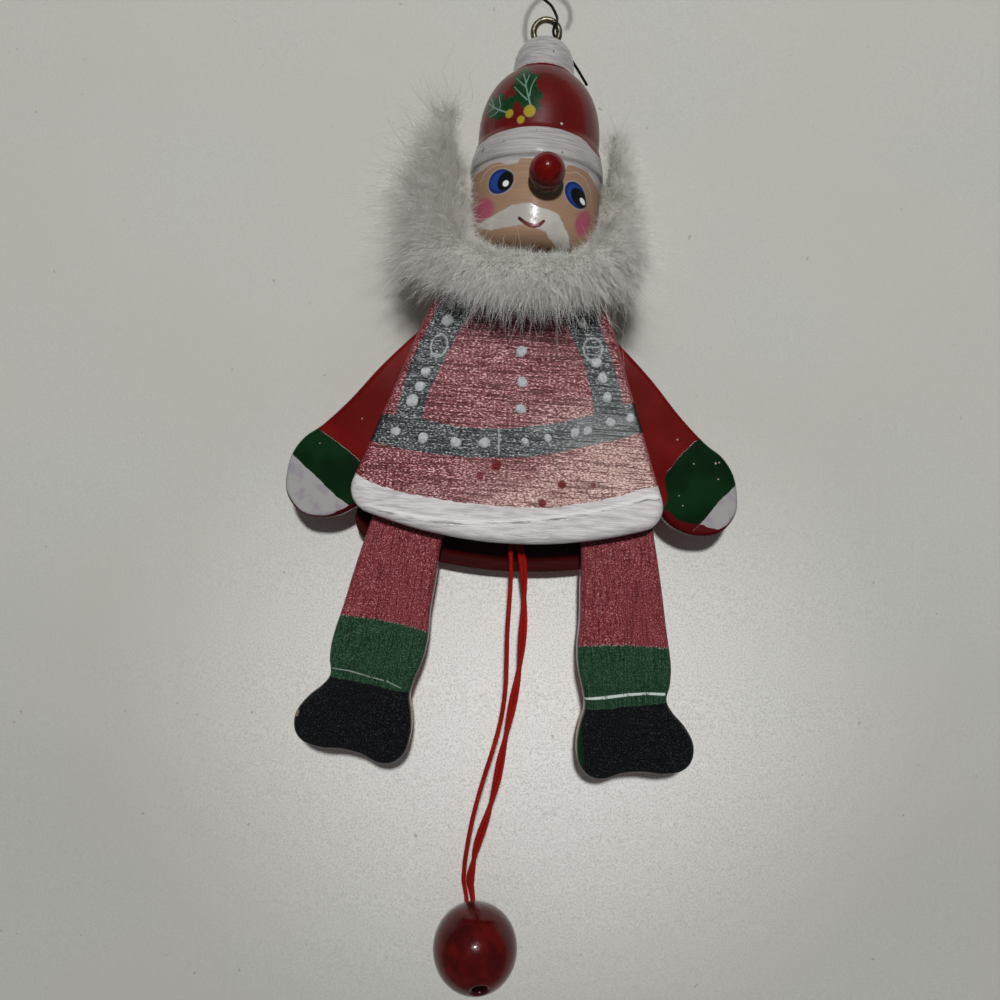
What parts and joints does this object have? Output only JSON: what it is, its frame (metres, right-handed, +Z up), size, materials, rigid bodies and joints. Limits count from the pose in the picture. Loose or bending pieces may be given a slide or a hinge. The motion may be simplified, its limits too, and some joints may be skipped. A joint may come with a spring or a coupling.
{
  "type": "jumping jack",
  "caption": "Wooden pull-string jumping jack: turned head, two body boards with pivoting arms and legs between them, and a cord with a bead that lifts all the limbs.",
  "frame": {"origin": "centre of the screw eye's ring, the point the figure hangs from", "axes": "+Z up along the hanging figure, -Y out of its painted front, +X to the viewer's right"},
  "size_m": [0.1109, 0.0408, 0.2626],
  "materials": {
    "front_board": "painted pink-red over visible grain, silver hem, dark belt and straps",
    "back_board": "red paint, silver hem band",
    "neck_block": "bare wood",
    "neck_dowel": "bare wood",
    "head": "turned and painted: white pompom and brim, red hat, skin face, glossy varnish",
    "nose_bead": "glossy red paint",
    "screw_eye": "dull bronze-coloured wire",
    "fur_beard": "white and grey fur",
    "pivot_pins": "bare wood",
    "arm_left": "red sleeve, dark green cuff, white mitten, satin paint",
    "arm_right": "red sleeve, dark green cuff, white mitten, satin paint",
    "leg_left": "pink-red paint over grain, green stocking band, glossy black boot",
    "leg_right": "pink-red paint over grain, green stocking band, glossy black boot",
    "arm_string": "twisted red string",
    "leg_string": "twisted red string",
    "centre_string": "twisted red string",
    "tie_knots": "tied red string",
    "pull_cord": "two red strings twisted together",
    "pull_strand": "twisted red string",
    "pull_bead": "glossy dark red paint",
    "ornament_hook": "dark bent wire"
  },
  "bodies": {
    "figure": {"front_board": "front_board", "back_board": "back_board", "neck_block": "neck_block", "neck_dowel": "neck_dowel", "head": "head", "nose_bead": "nose_bead", "screw_eye": "screw_eye", "fur_beard": "fur_beard", "pivot_pins": "pivot_pins"},
    "left_arm": {"arm_left": "arm_left"},
    "right_arm": {"arm_right": "arm_right"},
    "left_leg": {"leg_left": "leg_left"},
    "right_leg": {"leg_right": "leg_right"},
    "pull": {"arm_string": "arm_string", "leg_string": "leg_string", "centre_string": "centre_string", "tie_knots": "tie_knots", "pull_cord": "pull_cord", "pull_strand": "pull_strand", "pull_bead": "pull_bead"},
    "hook": {"ornament_hook": "ornament_hook"}
  },
  "joints": [
    {"name": "pull_slide", "type": "slide", "parent": "figure", "child": "pull", "axis": [0, 0, -1], "range_m": [0, 0.00742]},
    {"name": "left_arm_swing", "type": "hinge", "parent": "figure", "child": "left_arm", "pos_m": [-0.0164, 0, -0.0783], "axis": [0, 1, 0], "range_deg": [0, 62]},
    {"name": "right_arm_swing", "type": "hinge", "parent": "figure", "child": "right_arm", "pos_m": [0.0128, 0, -0.0783], "axis": [0, -1, 0], "range_deg": [0, 62]},
    {"name": "left_leg_swing", "type": "hinge", "parent": "figure", "child": "left_leg", "pos_m": [-0.0245, 0, -0.117], "axis": [0, 1, 0], "range_deg": [0, 51.7]},
    {"name": "right_leg_swing", "type": "hinge", "parent": "figure", "child": "right_leg", "pos_m": [0.0253, 0, -0.117], "axis": [0, -1, 0], "range_deg": [0, 51.7]},
    {"name": "hook_swing", "type": "hinge", "parent": "figure", "child": "hook", "pos_m": [0.0017, 0, 0.0004], "axis": [0, 1, 0], "range_deg": [-25, 15]}
  ],
  "couplings": [
    {"joint": "left_arm_swing", "follows": "pull_slide", "rad_per_m": 145.8},
    {"joint": "right_arm_swing", "follows": "pull_slide", "rad_per_m": 145.8},
    {"joint": "left_leg_swing", "follows": "pull_slide", "rad_per_m": 121.5},
    {"joint": "right_leg_swing", "follows": "pull_slide", "rad_per_m": 121.5}
  ]
}
